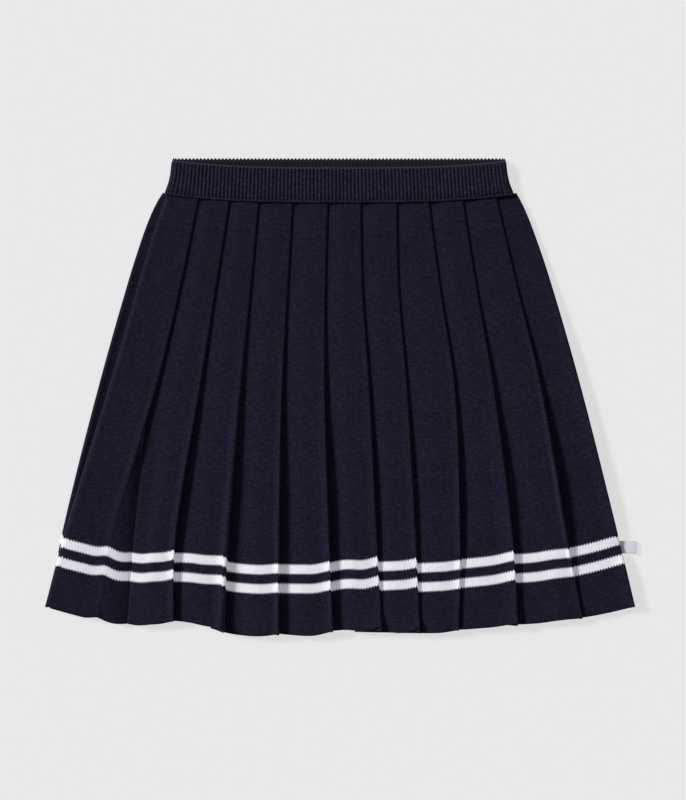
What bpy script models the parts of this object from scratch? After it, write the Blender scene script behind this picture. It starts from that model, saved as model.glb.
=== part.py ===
"""Pleated mini skirt in fine cotton knit, laid flat on a table with its front up.

The skirt is one tube of cloth on a ribbed elastic waistband. Its 22 knife pleats
all turn the same way round, so on the front every fold points to the right and on
the back, seen from the front, every fold points to the left.

Frame: X to the right of the skirt as it is seen, Y from hem to waist, Z up from the
table. The origin is on the table, below the middle of the skirt's outline.
Lengths in the tables and constants are millimetres.
"""
import math

import bpy

MM = 0.001

# ---- Cloth -----------------------------------------------------------------
CLOTH = 1.2                # thickness of the knitted wall
GAP = 0.3                  # space between pieces that lie together
SEAM = 0.5                 # slit of the side seam, inside the bend of its fold
LAYER = CLOTH + GAP        # from the middle of one layer to the middle of the next
TIGHT = LAYER / 2          # bend radius of a fold that is pressed shut
OPEN_SOFTNESS = 0.2        # growth of the bend radius as a pleat opens

# ---- Height of the layers above the table ----------------------------------
BACK_FACE = CLOTH / 2                  # back faces lie on the table
BACK_STACK = BACK_FACE + 2 * LAYER     # third layer of a back pleat
FRONT_BASE = BACK_STACK + LAYER        # front inner folds lie on the back
TOE_RISE = 0.2                         # a front face where the next fold's edge is over it
FACE_CROWN = 1.5                       # how soon a front face rises to its shoulder
OPEN_TOE, OPEN_SHOULDER = 6.0, 8.0     # how far the toe and shoulder are from an open fold
STEP_START = 0.8                       # a back face goes down to the table just past
STEP = 4.6                             # the last fold's edge, over this width

# ---- Seam between waistband and pleats, and the top edge -------------------
WAIST_HALF = 126.0
SEAM_Y = 148.2             # front seam at the sides
SEAM_DIP = 5.6             # how far it hangs lower in the middle
SEAM_POWER = 3
BACK_SEAM_Y = 149.0
PLEAT_TOP = 0.55           # the pleats end this far below the seam line

# ---- Rows across the pleats, as fractions of the way from waist to hem -----
ROWS = (0.0, 0.09, 0.2, 0.34, 0.5, 0.66, 0.8, 0.9, 1.0)
STOPS = (0.0, 0.2, 0.45, 0.8, 1.0)     # where the tables give a fold's place

# ---- Lines down the skirt: x at each of STOPS, then y at the hem ------------
LINES = {
    #              waist   fifth   middle     low     hem   hem_y
    "left_strip": (-129.5, -153.5, -175.6, -202.3, -213.0, -152.1),
    "left_rim":   (-126.8, -146.8, -168.9, -198.6, -216.8, -153.8),
    "left_seam":  (-114.8, -129.0, -142.2, -153.9, -157.7, -166.1),
    "right_rim":  (127.4, 151.7, 173.7, 201.2, 215.2, -152.9),
}

# ---- Front pleats, left to right, one row for each outer fold ---------------
FOLD_COLUMNS = ("waist", "fifth", "middle", "low", "hem", "hem_y",
                "underlap", "hem_underlap", "drop", "sag", "lift")
# waist..hem: x of the fold's edge at STOPS       hem_y: where its edge ends
# underlap, hem_underlap: width of the hidden return at waist and hem, or None
# where the inner fold follows the left side seam and the pleat opens at the hem
# drop: how much lower the hem is at the inner fold than at the outer one
# sag: how much lower the hem is in the middle of the face
# lift: bend radius of the outer fold at the hem
FOLDS = (
    (-105.3, -118.4, -135.7, -168.0, -175.8, -162.4, None, None, 3.6, 1.5, 2.0),
    (-82.5, -92.0, -104.1, -122.0, -123.3, -163.9, 14.0, 14.0, 1.2, 0.6, 1.9),
    (-61.2, -66.8, -74.3, -83.3, -86.1, -167.2, 14.0, 14.0, 4.4, 0.0, 2.3),
    (-36.2, -39.5, -43.8, -45.6, -45.9, -173.5, 14.0, 13.0, 0.4, 2.2, 1.8),
    (-10.4, -11.7, -12.4, -8.9, -6.2, -171.3, 14.0, 14.0, 1.8, 1.8, 1.9),
    (13.8, 15.5, 20.8, 26.6, 29.7, -166.8, 14.0, 19.0, 5.0, 0.8, 2.4),
    (40.3, 42.4, 48.4, 55.2, 57.6, -168.3, 14.0, 17.0, 4.0, 0.6, 2.3),
    (63.8, 72.7, 83.4, 87.3, 86.1, -170.5, 14.0, 12.0, 0.4, 1.0, 1.8),
    (88.8, 99.1, 111.6, 125.2, 129.2, -164.6, 14.0, 13.0, 2.2, 0.6, 2.1),
    (113.8, 128.2, 146.4, 165.7, 176.8, -162.4, 12.0, 14.0, 0.2, 0.8, 2.0),
)

# ---- Back pleats: evenly spaced from the right rim to the left strip --------
BACK_FOLDS = 12
BACK_UNDERLAP = 12.0
BACK_HEM_UNDERLAP = 16.0
BACK_HEM_SAG = 11.0        # the back hem is this much lower in the middle
BACK_UNEVEN = 1.6          # how far a back fold strays from even spacing at the hem
SKIRT_HALF = 217.0

# ---- Rims where the cloth turns from front to back --------------------------
RIGHT_RIM_R = 2.5
LEFT_RIM_R = 1.2

# ---- Right side seam, as shares of the rim that it runs down ----------------
RIGHT_CUT = GAP / 2 / (RIGHT_RIM_R * math.pi)
RIGHT_SEAM_ABOVE = (0.0, 0.18, 0.36, 0.47 - RIGHT_CUT, 0.5 - RIGHT_CUT)
RIGHT_SEAM_BELOW = (0.5 + RIGHT_CUT, 0.53 + RIGHT_CUT, 0.64, 0.82, 1.0)
WHOLE_RIM = (-1.0, -0.75, -0.5, -0.25, 0.0)

# ---- Waistband --------------------------------------------------------------
BAND_LEFT_TOP, BAND_RIGHT_TOP = -125.2, 120.8
BAND_LEFT_LOW, BAND_RIGHT_LOW = -126.8, 126.0
BAND_HEIGHT = 25.8
BAND_DEPTH = 9.0           # both walls and the slit between them
BAND_WALL = 3.0            # two layers of rib over the elastic
RIB_PITCH = 2.7
RIB_DEPTH = 0.7
EDGE_ROUND = 0.8           # rounding of the band's top and lower edges
PLAIN_STEP = 6.0           # spacing of points along the plain underside

# ---- Side tab: a bare folded ribbon in the right side seam ------------------
TAB_END = 217.4            # x of its folded end
TAB_WIDTH = 9.2
TAB_THICK = 1.1
TAB_Y = -110.6
TAB_Z = 1.9                # height of its underside above the table

# ---- Finishes: linear colour, roughness -------------------------------------
NAVY_KNIT = ((0.0105, 0.0088, 0.0176), 0.9)
NAVY_RIB = ((0.0115, 0.0095, 0.0190), 0.9)
TAB_RIBBON = ((0.62, 0.61, 0.68), 0.6)


def mix(a, b, t):
    return a + (b - a) * t


def through(stops, values, t):
    """Smooth curve through the values at the stops."""
    last = len(stops) - 1
    i = max(j for j in range(last) if stops[j] <= t or j == 0)

    def slope(j):
        a, b = max(j - 1, 0), min(j + 1, last)
        return (values[b] - values[a]) / (stops[b] - stops[a])

    width = stops[i + 1] - stops[i]
    u = (t - stops[i]) / width
    start, end = slope(i) * width, slope(i + 1) * width
    return ((2 * u ** 3 - 3 * u ** 2 + 1) * values[i] + (u ** 3 - 2 * u ** 2 + u) * start
            + (3 * u ** 2 - 2 * u ** 3) * values[i + 1] + (u ** 3 - u ** 2) * end)


def front_seam_y(x):
    return SEAM_Y - SEAM_DIP * (1 - min(abs(x) / WAIST_HALF, 1) ** SEAM_POWER)


def back_hem_y(x):
    return LINES["left_strip"][-1] - BACK_HEM_SAG * (1 - min(abs(x) / SKIRT_HALF, 1) ** 2)


def line_x(name, v):
    return through(STOPS, LINES[name][:5], v)


# ---- Pleats: each gives its fold edge, hidden return and heights at v -------
class Pleat:
    """One knife pleat: an outer fold, a return under it and an inner fold."""

    def __init__(self, side, outer_x, inner_x, hem_y, drop=0.0, sag=0.0, lift=TIGHT):
        self.side = side                    # 1 on the front, -1 on the back
        self.outer_x = outer_x              # x of each fold's edge at v
        self.inner_x = inner_x
        self.hem_y = hem_y
        self.drop = drop
        self.sag = sag
        self.lift = lift

    def outer_radius(self, v):
        return TIGHT if self.side < 0 else mix(TIGHT + 0.1, self.lift, v ** 1.5)

    def inner_z(self):
        return BACK_STACK if self.side < 0 else FRONT_BASE

    def outer_z(self, v):
        if self.side < 0:
            return BACK_FACE
        return FRONT_BASE + TOE_RISE + 2 * self.outer_radius(v) + LAYER

    def y(self, v, x, extra=0.0):
        """Height up the skirt of the row at v; extra is the hem's local fall."""
        top = BACK_SEAM_Y if self.side < 0 else front_seam_y(x)
        return mix(top - PLEAT_TOP, self.hem_y, v) - extra * v ** 2

    def bends(self, v):
        """Centre and radius of the outer and inner bends, and how far each turns.

        Where a pleat opens towards the hem, its inner fold passes under the outer
        one and out to the other side, and both bends grow wide and shallow.
        """
        s = self.side
        lap = s * (self.outer_x(v) - self.inner_x(v))
        r_out = self.outer_radius(v) + OPEN_SOFTNESS * max(0, -lap)
        r_in = TIGHT + OPEN_SOFTNESS * max(0, -lap)
        shut = min(max(lap / (4 * r_out) + 0.5, 0), 1)
        out = (self.outer_x(v) - s * r_out * shut, self.outer_z(v) - s * r_out, r_out)
        inn = (self.inner_x(v) + s * r_in * shut, self.inner_z() + s * r_in, r_in)
        dx, dz = s * (inn[0] - out[0]), s * (inn[1] - out[1])
        reach = max(math.hypot(dx, dz), r_out + r_in)
        turn = math.atan2(-dz, dx) + math.asin((r_out + r_in) / reach)
        return out, inn, turn

    def outer_bend(self, v, steps=3):
        """Points round the outer fold, from the face to the return."""
        (cx, cz, r), _, turn = self.bends(v)
        return [(cx + self.side * r * math.sin(turn * i / steps),
                 cz + self.side * r * math.cos(turn * i / steps),
                 self.y(v, self.outer_x(v))) for i in range(steps + 1)]

    def inner_bend(self, v, seam=None):
        """Points round the inner fold, from the return to the next face.

        With a seam down the fold, only the part above or below the seam.
        """
        _, (cx, cz, r), turn = self.bends(v)
        cut = SEAM / 2 / r
        first, last = {None: (turn, 0.0), "above": (turn, turn / 2 + cut),
                       "below": (turn / 2 - cut, 0.0)}[seam]
        shares = {None: (0, 1 / 3, 2 / 3, 1), "above": (0, 0.5, 0.88, 1),
                  "below": (0, 0.12, 0.5, 1)}[seam]
        return [(cx - self.side * r * math.sin(mix(first, last, share)),
                 cz - self.side * r * math.cos(mix(first, last, share)),
                 self.y(v, self.inner_x(v), self.drop)) for share in shares]



def front_pleats():
    pleats = []
    for row in FOLDS:
        fold = dict(zip(FOLD_COLUMNS, row))

        def outer(v, row=row):
            return through(STOPS, row[:len(STOPS)], v)

        def inner(v, outer=outer, fold=fold):
            if fold["underlap"] is None:
                return line_x("left_seam", v)
            return outer(v) - mix(fold["underlap"], fold["hem_underlap"], v)

        pleats.append(Pleat(1, outer, inner, fold["hem_y"], fold["drop"],
                            fold["sag"], fold["lift"]))
    return pleats


def back_pleats():
    pleats = []
    for i in range(1, BACK_FOLDS + 1):
        share = i / BACK_FOLDS
        stray = BACK_UNEVEN * math.sin(2.4 * i) * math.sin(math.pi * share)

        def outer(v, share=share, stray=stray):
            return mix(line_x("right_rim", v), line_x("left_strip", v), share) + stray * v

        def inner(v, outer=outer):
            return outer(v) + mix(BACK_UNDERLAP, BACK_HEM_UNDERLAP, v)

        pleats.append(Pleat(-1, outer, inner, back_hem_y(outer(1.0))))
    return pleats


# ---- Faces: the cloth from one pleat's inner fold to the next outer fold ----
def shoulder(pleat, v):
    """Where a front face comes to lie on its own pleat's hidden layers."""
    lap = max(pleat.outer_x(v) - pleat.inner_x(v), OPEN_SHOULDER)
    return pleat.outer_x(v) - lap, FRONT_BASE + 2 * LAYER + 0.05


def front_face(before, pleat, v):
    """Toe under the last fold's edge, two points of the slope, and the shoulder."""
    toe_x = max(before.outer_x(v), before.inner_x(v) + OPEN_TOE) + 0.5
    toe_z = FRONT_BASE + TOE_RISE
    shoulder_x, shoulder_z = shoulder(pleat, v)
    points = []
    for share in (0.0, 0.3, 0.65, 1.0):
        rise = 1 - (1 - share) ** FACE_CROWN
        points.append((mix(toe_x, shoulder_x, share), mix(toe_z, shoulder_z, rise)))
    start = (before.inner_x(v), before.y(v, before.inner_x(v), before.drop))
    end = (pleat.outer_x(v), pleat.y(v, pleat.outer_x(v)))
    return hung(points, start, end, pleat.sag, v)


def back_face(before, pleat, v):
    """Level over the last pleat, a step down, then flat on the table."""
    edge = before.outer_x(v)
    foot_x = edge - STEP_START - STEP
    points = [(edge - STEP_START, BACK_STACK), (foot_x, BACK_FACE),
              (mix(foot_x, pleat.inner_x(v), 0.5), BACK_FACE),
              (pleat.inner_x(v), BACK_FACE)]
    start = (before.inner_x(v), before.y(v, before.inner_x(v)))
    end = (pleat.outer_x(v), pleat.y(v, pleat.outer_x(v)))
    return hung(points, start, end, pleat.sag, v)


def hung(points, start, end, sag, v):
    """Give (x, z) points their y between the row's two ends, with a sagging hem."""
    placed = []
    for x, z in points:
        share = min(max((x - start[0]) / (end[0] - start[0]), 0), 1)
        y = mix(start[1], end[1], share) - sag * math.sin(math.pi * share) * v ** 2
        placed.append((x, z, y))
    return placed


def rim_y(name, v, z, low, high):
    """Row height round a rim: the back seam at its foot, the front seam on top."""
    share = min(max((z - low) / (high - low), 0), 1)
    top = mix(BACK_SEAM_Y, front_seam_y(line_x(name, 0.0)), share)
    return mix(top - PLEAT_TOP, LINES[name][-1], v)


def rim(name, v, low, radius, shares):
    """Points round a rim of the skirt, at shares of a half turn from straight up."""
    side = 1 if name == "right_rim" else -1
    cx, cz = line_x(name, v) - side * radius, low + radius
    points = []
    for share in shares:
        angle = share * math.pi
        x, z = cx + radius * math.sin(angle), cz + radius * math.cos(angle)
        points.append((x, z, rim_y(name, v, z, low, low + 2 * radius)))
    return points


def right_wrap_front(before, v):
    """The last front face, from its inner fold to the right rim."""
    toe_x = before.outer_x(v) + 0.5
    rim_x = line_x("right_rim", v) - RIGHT_RIM_R
    rim_top = BACK_FACE + 2 * RIGHT_RIM_R
    points = [(mix(toe_x, rim_x, share), mix(FRONT_BASE + TOE_RISE, rim_top, share))
              for share in (0.0, 0.4, 0.75)]
    start = (before.inner_x(v), before.y(v, before.inner_x(v), before.drop))
    end = (rim_x, rim_y("right_rim", v, rim_top, BACK_FACE, rim_top))
    return hung(points, start, end, 0.6, v)


def right_wrap_back(pleat, v):
    """The first back face, from the right rim to its outer fold."""
    rim_x = line_x("right_rim", v) - RIGHT_RIM_R
    points = [(mix(rim_x, pleat.outer_x(v), share), BACK_FACE) for share in (0.35, 0.75)]
    start = (rim_x, rim_y("right_rim", v, BACK_FACE, BACK_FACE, BACK_FACE + 2 * RIGHT_RIM_R))
    end = (pleat.outer_x(v), pleat.y(v, pleat.outer_x(v)))
    return hung(points, start, end, 0.0, v)


def left_wrap(before, pleat, v):
    """From the last back pleat's inner fold, round the left rim, to the first fold."""
    rim_x = line_x("left_rim", v) + LEFT_RIM_R
    rim_top = BACK_STACK + 2 * LEFT_RIM_R
    low_start = (before.inner_x(v), before.y(v, before.inner_x(v)))
    low_end = (rim_x, rim_y("left_rim", v, BACK_STACK, BACK_STACK, rim_top))
    under = hung([(mix(before.inner_x(v), rim_x, 0.5), BACK_STACK)], low_start, low_end, 0.0, v)
    turn = rim("left_rim", v, BACK_STACK, LEFT_RIM_R, WHOLE_RIM)
    shoulder_x, shoulder_z = shoulder(pleat, v)
    over = [(mix(rim_x, shoulder_x, share), mix(rim_top, shoulder_z, share))
            for share in (0.35, 0.7, 1.0)]
    high_start = (rim_x, rim_y("left_rim", v, rim_top, BACK_STACK, rim_top))
    high_end = (pleat.outer_x(v), pleat.y(v, pleat.outer_x(v)))
    return under + turn + hung(over, high_start, high_end, pleat.sag, v)


# ---- The two panels, from one side seam to the other ------------------------
def front_section(front, v):
    points = front[0].inner_bend(v, "below")
    for before, pleat in zip(front, front[1:]):
        points += front_face(before, pleat, v)
        points += pleat.outer_bend(v)
        points += pleat.inner_bend(v)
    points += right_wrap_front(front[-1], v)
    points += rim("right_rim", v, BACK_FACE, RIGHT_RIM_R, RIGHT_SEAM_ABOVE)
    return points


def back_section(front, back, v):
    points = rim("right_rim", v, BACK_FACE, RIGHT_RIM_R, RIGHT_SEAM_BELOW)
    points += right_wrap_back(back[0], v)
    for i, pleat in enumerate(back):
        if i:
            points += back_face(back[i - 1], pleat, v)
        points += pleat.outer_bend(v)
        points += pleat.inner_bend(v)
    first = front[0]
    points += left_wrap(back[-1], first, v)
    points += first.outer_bend(v)
    points += first.inner_bend(v, "above")
    return points


def panel(name, section, material):
    """Loft a cloth surface through the section at each row and give it thickness."""
    rows = [section(v) for v in ROWS]
    width = len(rows[0])
    vertices = [(x * MM, y * MM, z * MM) for row in rows for x, z, y in row]
    faces = []
    for j in range(len(rows) - 1):
        for i in range(width - 1):
            a = j * width + i
            faces.append((a, a + width, a + width + 1, a + 1))
    mesh = bpy.data.meshes.new(name)
    mesh.from_pydata(vertices, [], faces)
    mesh.materials.append(material)
    mesh.shade_smooth()
    mesh.set_sharp_from_angle(angle=math.radians(50))
    panel_object = bpy.data.objects.new(name, mesh)
    wall = panel_object.modifiers.new("cloth", "SOLIDIFY")
    wall.thickness = CLOTH * MM
    wall.offset = 0.0
    wall.use_even_offset = True
    return panel_object


# ---- Waistband --------------------------------------------------------------
def band_y(x, z, height_share):
    """Row height on the band: straight on the back, dipping on the front."""
    front = min(max((z - BAND_WALL) / (BAND_DEPTH - 2 * BAND_WALL), 0), 1)
    low = mix(BACK_SEAM_Y, front_seam_y(x), front) + GAP / 2
    return low + BAND_HEIGHT * height_share


def band_places():
    """Places round the band: how far along, and whether a rib rises there."""
    radius = BAND_DEPTH / 2
    flat = BAND_RIGHT_TOP - BAND_LEFT_TOP - 2 * radius
    ribs = round((flat + 2 * math.pi * radius) / RIB_PITCH)
    ribbed = [(i / (2 * ribs), i % 2) for i in range(2 * ribs)]
    plain_count = round(flat / PLAIN_STEP)
    plain = [(i / plain_count, 0) for i in range(1, plain_count)]
    return ribbed, plain


def band_ring(height_share, inset, ribs):
    """One ring of points: over the front and its two turns, then under the back."""
    left = mix(BAND_LEFT_LOW, BAND_LEFT_TOP, height_share)
    right = mix(BAND_RIGHT_LOW, BAND_RIGHT_TOP, height_share)
    radius = BAND_DEPTH / 2
    flat = right - left - 2 * radius
    arc = math.pi * radius
    ribbed, plain = band_places()
    ring = []
    for share, raised in ribbed:
        along = share * (flat + 2 * arc)
        proud = RIB_DEPTH * (raised - 1) * ribs - inset
        if along < arc:
            angle = math.pi + along / radius
            centre = left + radius
        elif along > arc + flat:
            angle = (along - arc - flat) / radius
            centre = right - radius
        else:
            angle = 0.0
            centre = left + radius + along - arc
        x = centre + (radius + proud) * math.sin(angle)
        z = radius + (radius + proud) * math.cos(angle)
        ring.append((x, band_y(x, z, height_share), z))
    for share, _ in plain:
        x = mix(right - radius, left + radius, share)
        ring.append((x, band_y(x, inset, height_share), inset))
    return ring


def waistband(material):
    """Ribbed outer wall over a plain inner wall, open at the top and bottom."""
    edge = EDGE_ROUND / BAND_HEIGHT
    rings = [
        band_ring(0.0, BAND_WALL, 0.0),
        band_ring(0.0, EDGE_ROUND, 0.0),
        band_ring(edge, 0.0, 1.0),
        band_ring(1.0 - edge, 0.0, 1.0),
        band_ring(1.0, EDGE_ROUND, 0.0),
        band_ring(1.0, BAND_WALL, 0.0),
    ]
    count = len(rings[0])
    vertices = [tuple(c * MM for c in point) for ring in rings for point in ring]
    faces = []
    for j in range(len(rings)):
        upper = (j + 1) % len(rings)
        for i in range(count):
            ahead = (i + 1) % count
            faces.append((j * count + i, j * count + ahead,
                          upper * count + ahead, upper * count + i))
    mesh = bpy.data.meshes.new("waistband")
    mesh.from_pydata(vertices, [], faces)
    mesh.materials.append(material)
    mesh.shade_smooth()
    mesh.set_sharp_from_angle(angle=math.radians(60))
    return bpy.data.objects.new("waistband", mesh)


def rim_edge_x(y):
    """Where the right rim is at this height up the skirt."""
    hem_y = LINES["right_rim"][-1]
    return line_x("right_rim", (BACK_SEAM_Y - y) / (BACK_SEAM_Y - hem_y))


def side_tab(material):
    """The folded ribbon loop that stands out of the right side seam."""
    bpy.ops.mesh.primitive_cube_add(size=1.0)
    tab = bpy.context.object
    tab.name = "side_tab"
    for vertex in tab.data.vertices:
        x, y, z = vertex.co
        y = TAB_Y + y * TAB_WIDTH
        inner = rim_edge_x(y) + CLOTH / 2 + GAP
        vertex.co = ((inner if x < 0 else TAB_END) * MM, y * MM,
                     (TAB_Z + (z + 0.5) * TAB_THICK) * MM)
    soft = tab.modifiers.new("soft_edges", "BEVEL")
    soft.width = 0.35 * MM
    soft.segments = 2
    tab.data.materials.append(material)
    return tab


def finish(name, colour_and_roughness):
    colour, roughness = colour_and_roughness
    material = bpy.data.materials.new(name)
    material.use_nodes = True
    shader = material.node_tree.nodes["Principled BSDF"]
    shader.inputs["Base Color"].default_value = (*colour, 1.0)
    shader.inputs["Roughness"].default_value = roughness
    shader.inputs["Metallic"].default_value = 0.0
    return material


def main():
    for old in list(bpy.data.objects):
        bpy.data.objects.remove(old)
    knit = finish("navy_knit", NAVY_KNIT)
    front, back = front_pleats(), back_pleats()
    pieces = [
        panel("skirt_front", lambda v: front_section(front, v), knit),
        panel("skirt_back", lambda v: back_section(front, back, v), knit),
        waistband(finish("navy_rib", NAVY_RIB)),
        side_tab(finish("tab_ribbon", TAB_RIBBON)),
    ]
    skirt = bpy.data.collections.new("pleated_mini_skirt")
    bpy.context.scene.collection.children.link(skirt)
    for piece in pieces:
        for home in list(piece.users_collection):
            home.objects.unlink(piece)
        skirt.objects.link(piece)


main()
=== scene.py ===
"""A navy pleated mini skirt in fine cotton knit, laid flat with its front up.

Every length in the tables and constants is in millimetres, as a knitter's size
sheet has it, and is turned to metres where a mesh is made. X runs to the right
of the skirt, Y from hem to waist, Z up from the table.
"""
import math

import bpy
import numpy as np
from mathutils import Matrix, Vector


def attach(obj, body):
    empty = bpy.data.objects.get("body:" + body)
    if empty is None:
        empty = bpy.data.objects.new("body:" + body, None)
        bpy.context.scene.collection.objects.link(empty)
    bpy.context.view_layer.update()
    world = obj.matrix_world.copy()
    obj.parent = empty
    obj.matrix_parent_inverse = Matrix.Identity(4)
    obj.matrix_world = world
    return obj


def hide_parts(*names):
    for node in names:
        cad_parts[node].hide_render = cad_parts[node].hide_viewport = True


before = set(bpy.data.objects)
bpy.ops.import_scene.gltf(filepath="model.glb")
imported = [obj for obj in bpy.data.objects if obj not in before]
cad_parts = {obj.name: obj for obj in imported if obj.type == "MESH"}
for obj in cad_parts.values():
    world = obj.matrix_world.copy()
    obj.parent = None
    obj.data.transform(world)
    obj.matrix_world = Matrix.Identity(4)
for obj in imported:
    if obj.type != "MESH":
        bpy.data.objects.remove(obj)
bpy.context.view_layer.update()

MM = 0.001

# ---- Cloth -----------------------------------------------------------------
CLOTH = 0.85               # thickness of the knitted wall
GAP = 0.3                  # space between pieces that lie together
SEAM = 0.04                # slit of a side seam
SEAM_GROOVE, GROOVE_HALF = 1.3, 0.9    # the cloth dips this deep beside the left one
LAYER = 1.5                # from the middle of one layer to the middle of the next
PRESSED = 0.6              # how flat the layers are pressed at the waist,
PRESSED_DOWN_TO = 0.7      # and the share of the way to the hem where that ends
TIGHT = LAYER / 2          # bend radius of a fold that is pressed shut
EDGE_ROUND = 0.5           # bend radius of a front fold's edge, which is ironed sharp
OPEN_SOFTNESS = 0.2        # growth of the bend radius as a pleat opens
ROLL_BEND = 1.5            # how late a front fold's edge comes to its radius at the hem
SHUT_LAPS = (3.0, 10.0)    # underlap where a pleat starts to be pressed shut, and is

# ---- Height of the layers above the table ----------------------------------
BACK_FACE = CLOTH / 2                  # back faces lie on the table
BACK_STACK = BACK_FACE + 2 * LAYER     # third layer of a back pleat
FRONT_BASE = BACK_STACK + LAYER        # front inner folds lie on the back
FACE_TOP = FRONT_BASE + 2 * LAYER      # third layer of a front pleat
REST = 0.05                            # a face hardly touches what it lies on
TOE_RISE = 0.2                         # a front face where the last fold's edge is over it
HEM_TOE = 1.4                          # and how much more at the hem, beside a shut pleat,
SHUT_VALLEY = 3.0                      # one whose valley is narrower than this
TOE_PAST = 0.5                         # how far past that edge the face starts to climb
OPEN_TOE, OPEN_SHOULDER = 6.0, 8.0     # how far the toe and shoulder are from an open fold
STEP_START = 0.8                       # a back face goes down to the table just past
STEP = 4.6                             # the last fold's edge, over this width

# ---- Seam between waistband and pleats --------------------------------------
WAIST_HALF = 126.0
SEAM_Y = 148.2             # front seam at the sides
SEAM_DIP = 5.6             # how far it hangs lower in the middle
SEAM_POWER = 3
BACK_SEAM_Y = 149.0
PLEAT_TUCK = 1.3           # the pleats go this far up inside the band's edge,
BACK_TUCK, BACK_TUCK_POWER = 3.4, 8    # and the back's go farther, away from its ends

STOPS = (0.0, 0.2, 0.45, 0.8, 1.0)     # where the tables give a fold's place

# ---- Lines down the skirt: x at each of STOPS, then y at the hem ------------
LINES = {
    #              waist   fifth   middle     low     hem   hem_y
    "left_strip": (-131.2, -154.0, -176.6, -203.4, -215.2, -152.6),
    "left_rim":   (-127.4, -146.8, -168.9, -201.4, -217.5, -154.4),
    "left_seam":  (-114.8, -128.6, -141.0, -152.4, -157.7, -166.8),
    "right_rim":  (128.9, 151.7, 174.1, 201.0, 215.5, -154.2),
}
HIP_SPRING = {"left_strip": -2.6, "left_rim": -1.0, "right_rim": 1.8}
HIP_AT = 0.07              # the sides spring out most this far down from the waist

# ---- Front pleats, left to right, one row for each outer fold ---------------
FOLD_COLUMNS = ("waist", "fifth", "middle", "low", "hem", "underlap", "hem_underlap", "roll",
                "low_lift", "hem_lift", "flare", "low_valley", "hem_valley", "curl")
FOLDS = (
    # x of the fold's edge at the five stops     underlap    roll    lift  flare   valley    curl
    (-105.3, -117.7, -135.7, -168.0, -178.6, None, None, 0.9, 1.5, 0.2, 4.0, 3.4, 0.5, 0.5),
    (-82.5, -92.2, -104.1, -121.4, -123.3, 14.0, 14.0, 0.5, 2.3, 1.8, 5.0, 6.5, 5.0, 0.3),
    (-61.2, -67.0, -74.3, -82.9, -86.1, 14.0, 9.5, 2.0, 3.2, 2.8, 4.5, 8.5, 13.0, 2.4),
    (-36.2, -39.9, -43.8, -45.6, -45.9, 14.0, 13.0, 0.5, 2.6, 2.6, 4.0, 8.0, 8.5, 0.5),
    (-10.4, -12.2, -12.4, -8.7, -6.2, 14.0, 14.0, 0.5, 2.8, 2.6, 6.0, 8.0, 7.0, 0.4),
    (13.8, 15.0, 20.4, 26.0, 29.4, 14.0, 19.0, 0.6, 1.4, 0.7, 4.5, 3.0, 0.8, 3.0),
    (40.3, 41.6, 48.2, 54.6, 57.4, 14.0, 17.0, 0.6, 1.4, 0.7, 4.5, 2.5, 0.8, 3.0),
    (63.8, 72.0, 83.4, 87.3, 86.1, 14.0, 12.0, 0.5, 2.2, 1.2, 4.0, 3.0, 1.0, 0.3),
    (88.8, 98.4, 111.6, 125.4, 129.2, 14.0, 13.0, 0.6, 3.2, 2.4, 11.0, 10.5, 17.0, 1.8),
    (113.3, 127.4, 146.2, 165.0, 176.8, 12.0, 14.0, 0.5, 4.2, 0.0, 2.4, 9.0, 0.0, 0.3),
)
LOW_STOPS = (0.0, 0.2, 0.45, 0.7, 0.92)     # where a lift and a valley are given
LIFT_AT_MIDDLE, VALLEY_AT_MIDDLE = 0.35, 0.45      # shares of the low ones
EDGE_RISE = 0.25           # how far a pressed fold's edge stands above its shoulder
FLARE = 4.0                # width of a pressed fold's edge at the waist,
FLARE_DOWN_TO = 0.5        # from here down it has the width in the table
FLARE_BEND = 1.7           # how sharply it turns up
VALLEY_LEAST, VALLEY_MOST = 0.8, 0.45  # a valley's least width, and most share of a face
VALLEY_RISE = 0.1          # how far it climbs from the toe
BANK, BANK_MOST = 3.5, 0.3             # past its valley a face climbs this soon,
BANK_RISE = (0.22, 0.5)    # and by this share of its rise, at the waist and the hem
LAST_VALLEY_MOST = 0.3     # the last face has a narrower valley,
LAST_LEVEL_AT = 0.75       # and is level from this share of the way to the rim
RETURN_BEND = 1.3          # a pressed return's points crowd towards its outer fold
RETURN_SAG = 1.7           # an open return's hem hangs lower in its middle,
RETURN_BULGE = 0.8         # and the return itself bulges,
BULGE_WIDTH = 10.0         # in full when it is this wide
NEAR_SAG, NEAR_SLANT = 30, 45          # powers of v that act on the lowest rows alone
FACE_SHARES = (0.0, 0.25, 0.5, 0.75, 1.0)
FACE_HEMS = (
    # y of each face's hem, from its inner fold to its outer one
    (-154.4, -157.1, -159.6, -161.9, -161.7),
    (-166.8, -167.9, -167.2, -166.5, -164.5),
    (-164.6, -164.6, -165.7, -168.3, -169.8),
    (-170.2, -173.7, -175.4, -175.6, -174.1),
    (-173.5, -174.2, -175.2, -175.2, -172.0),
    (-171.6, -172.0, -171.2, -171.7, -167.6),
    (-172.7, -173.0, -173.0, -172.7, -169.3),
    (-173.5, -173.6, -173.5, -173.0, -171.1),
    (-171.6, -171.0, -169.9, -168.5, -165.4),
    (-167.3, -167.2, -166.1, -163.8, -162.6),
    (-162.4, -162.4, -160.3, -157.5, -154.2),
)
STRIPE_STRAYS = (
    # how far the stripes stray up from the hem's own line on each face: just past the
    # last fold's edge, midway and at its own fold's edge
    (0.4, 0.8, 1.0),
    (0.6, 1.0, 0.4),
    (-1.9, -0.6, 1.9),
    (0.3, 0.7, 0.1),
    (-0.7, 0.6, -0.2),
    (-1.6, 0.5, -0.7),
    (-0.1, 0.9, -0.2),
    (-0.4, 0.1, -0.3),
    (-0.1, 0.3, 1.0),
    (0.0, -0.1, 0.7),
    (0.3, 1.1, 2.0),
)
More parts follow.
